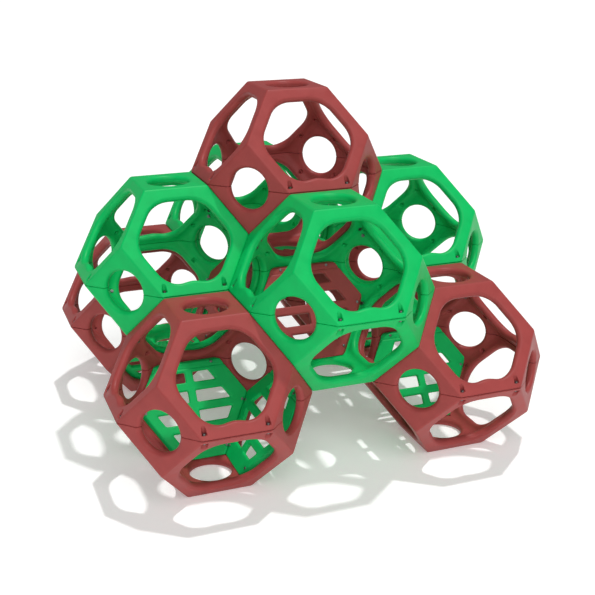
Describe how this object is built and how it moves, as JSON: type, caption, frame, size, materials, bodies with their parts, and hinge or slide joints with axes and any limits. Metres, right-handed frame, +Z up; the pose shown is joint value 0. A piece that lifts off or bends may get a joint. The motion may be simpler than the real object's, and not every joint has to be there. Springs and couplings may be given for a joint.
{
  "type": "dome climber",
  "caption": "Stepped pyramid of hollow truncated-octahedron climbing cells bolted face to face, with round and hexagonal openings and lattice panels towards the inside.",
  "frame": {"origin": "on the ground under the centre of the top cell", "axes": "+Z up; +X and +Y along the directions in which the cells' square faces look"},
  "size_m": [3.6, 3.6, 2.4],
  "materials": {
    "red_shell": "satin rotationally moulded polyethylene, brick red",
    "green_shell": "satin rotationally moulded polyethylene, leaf green",
    "green_panel": "satin moulded polyethylene, leaf green",
    "red_panel": "satin moulded polyethylene, brick red",
    "fasteners": "plain zinc-plated or stainless steel"
  },
  "bodies": {
    "root": {"base_back_lower_shell": "red_shell", "base_back_panel_front_left": "green_panel", "base_back_panel_front_right": "green_panel", "base_back_seam_bolts": "fasteners", "base_back_seam_nuts": "fasteners", "base_back_upper_shell": "red_shell", "base_front_lower_shell": "red_shell", "base_front_panel_back_left": "green_panel", "base_front_panel_back_right": "green_panel", "base_front_seam_bolts": "fasteners", "base_front_seam_nuts": "fasteners", "base_front_upper_shell": "red_shell", "base_left_lower_shell": "red_shell", "base_left_panel_back_right": "green_panel", "base_left_panel_front_right": "green_panel", "base_left_seam_bolts": "fasteners", "base_left_seam_nuts": "fasteners", "base_left_upper_shell": "red_shell", "base_panel_inserts": "fasteners", "base_panel_screws": "fasteners", "base_right_lower_shell": "red_shell", "base_right_panel_back_left": "green_panel", "base_right_panel_front_left": "green_panel", "base_right_seam_bolts": "fasteners", "base_right_seam_nuts": "fasteners", "base_right_upper_shell": "red_shell", "middle_back_left_lower_shell": "green_shell", "middle_back_left_panel_front_right": "red_panel", "middle_back_left_seam_bolts": "fasteners", "middle_back_left_seam_nuts": "fasteners", "middle_back_left_upper_shell": "green_shell", "middle_back_right_lower_shell": "green_shell", "middle_back_right_panel_front_left": "red_panel", "middle_back_right_seam_bolts": "fasteners", "middle_back_right_seam_nuts": "fasteners", "middle_back_right_upper_shell": "green_shell", "middle_front_left_lower_shell": "green_shell", "middle_front_left_panel_back_right": "red_panel", "middle_front_left_seam_bolts": "fasteners", "middle_front_left_seam_nuts": "fasteners", "middle_front_left_upper_shell": "green_shell", "middle_front_right_lower_shell": "green_shell", "middle_front_right_panel_back_left": "red_panel", "middle_front_right_seam_bolts": "fasteners", "middle_front_right_seam_nuts": "fasteners", "middle_front_right_upper_shell": "green_shell", "middle_panel_inserts": "fasteners", "middle_panel_screws": "fasteners", "middle_to_base_bolts": "fasteners", "middle_to_base_nuts": "fasteners", "middle_to_middle_bolts": "fasteners", "middle_to_middle_nuts": "fasteners", "top_lower_shell": "red_shell", "top_seam_bolts": "fasteners", "top_seam_nuts": "fasteners", "top_to_middle_bolts": "fasteners", "top_to_middle_nuts": "fasteners", "top_upper_shell": "red_shell"}
  },
  "joints": []
}
